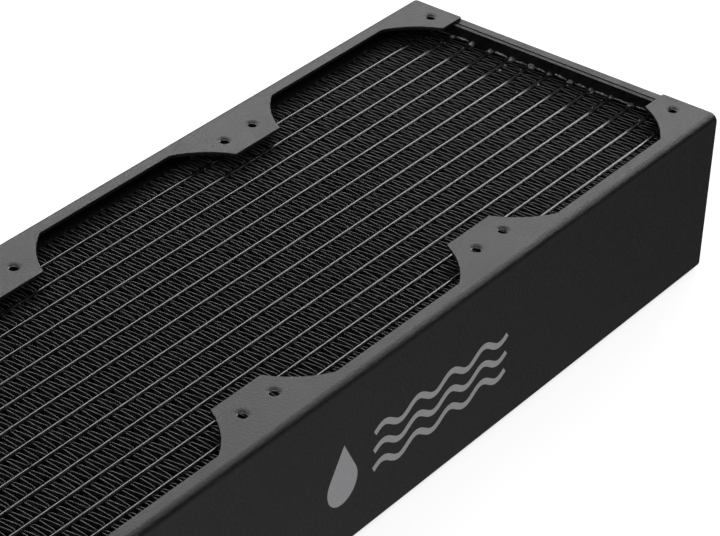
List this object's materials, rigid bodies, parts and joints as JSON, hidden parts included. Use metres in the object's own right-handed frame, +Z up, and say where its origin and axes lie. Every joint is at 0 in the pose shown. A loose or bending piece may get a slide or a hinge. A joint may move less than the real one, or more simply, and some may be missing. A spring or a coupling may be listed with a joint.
{
  "type": "liquid cooling radiator",
  "caption": "Thick liquid cooling radiator: finned flat-tube core between folded side panels with fan-screw tabs on both faces, a tank at each end and threaded ports.",
  "frame": {"origin": "middle of the base, on the plane that the lower face rests on", "axes": "+X along the length towards the return tank, -X towards the port tank, +Y across the width, +Z up through the core, along the way the air goes"},
  "size_m": [0.4024, 0.133, 0.064],
  "materials": {
    "panel_paint": "matte",
    "tank_paint": "satin",
    "header_brass": "satin",
    "tube_brass": "satin",
    "fin_copper": "satin",
    "port_brass": "satin"
  },
  "bodies": {
    "root": {"side_panel_left": "panel_paint", "side_panel_right": "panel_paint", "return_tank": "tank_paint", "port_tank": "tank_paint", "return_header": "header_brass", "port_header": "header_brass", "flow_divider": "header_brass", "inlet_bung": "port_brass", "outlet_bung": "port_brass", "core_side_plate_left": "panel_paint", "core_side_plate_right": "panel_paint", "tube_upper_01": "tube_brass", "tube_upper_02": "tube_brass", "tube_upper_03": "tube_brass", "tube_upper_04": "tube_brass", "tube_upper_05": "tube_brass", "tube_upper_06": "tube_brass", "tube_upper_07": "tube_brass", "tube_upper_08": "tube_brass", "tube_upper_09": "tube_brass", "tube_upper_10": "tube_brass", "tube_upper_11": "tube_brass", "tube_upper_12": "tube_brass", "tube_upper_13": "tube_brass", "tube_lower_01": "tube_brass", "tube_lower_02": "tube_brass", "tube_lower_03": "tube_brass", "tube_lower_04": "tube_brass", "tube_lower_05": "tube_brass", "tube_lower_06": "tube_brass", "tube_lower_07": "tube_brass", "tube_lower_08": "tube_brass", "tube_lower_09": "tube_brass", "tube_lower_10": "tube_brass", "tube_lower_11": "tube_brass", "tube_lower_12": "tube_brass", "tube_lower_13": "tube_brass", "fin_strip_01": "fin_copper", "fin_strip_02": "fin_copper", "fin_strip_03": "fin_copper", "fin_strip_04": "fin_copper", "fin_strip_05": "fin_copper", "fin_strip_06": "fin_copper", "fin_strip_07": "fin_copper", "fin_strip_08": "fin_copper", "fin_strip_09": "fin_copper", "fin_strip_10": "fin_copper", "fin_strip_11": "fin_copper", "fin_strip_12": "fin_copper", "fin_strip_13": "fin_copper", "fin_strip_14": "fin_copper"}
  },
  "joints": []
}
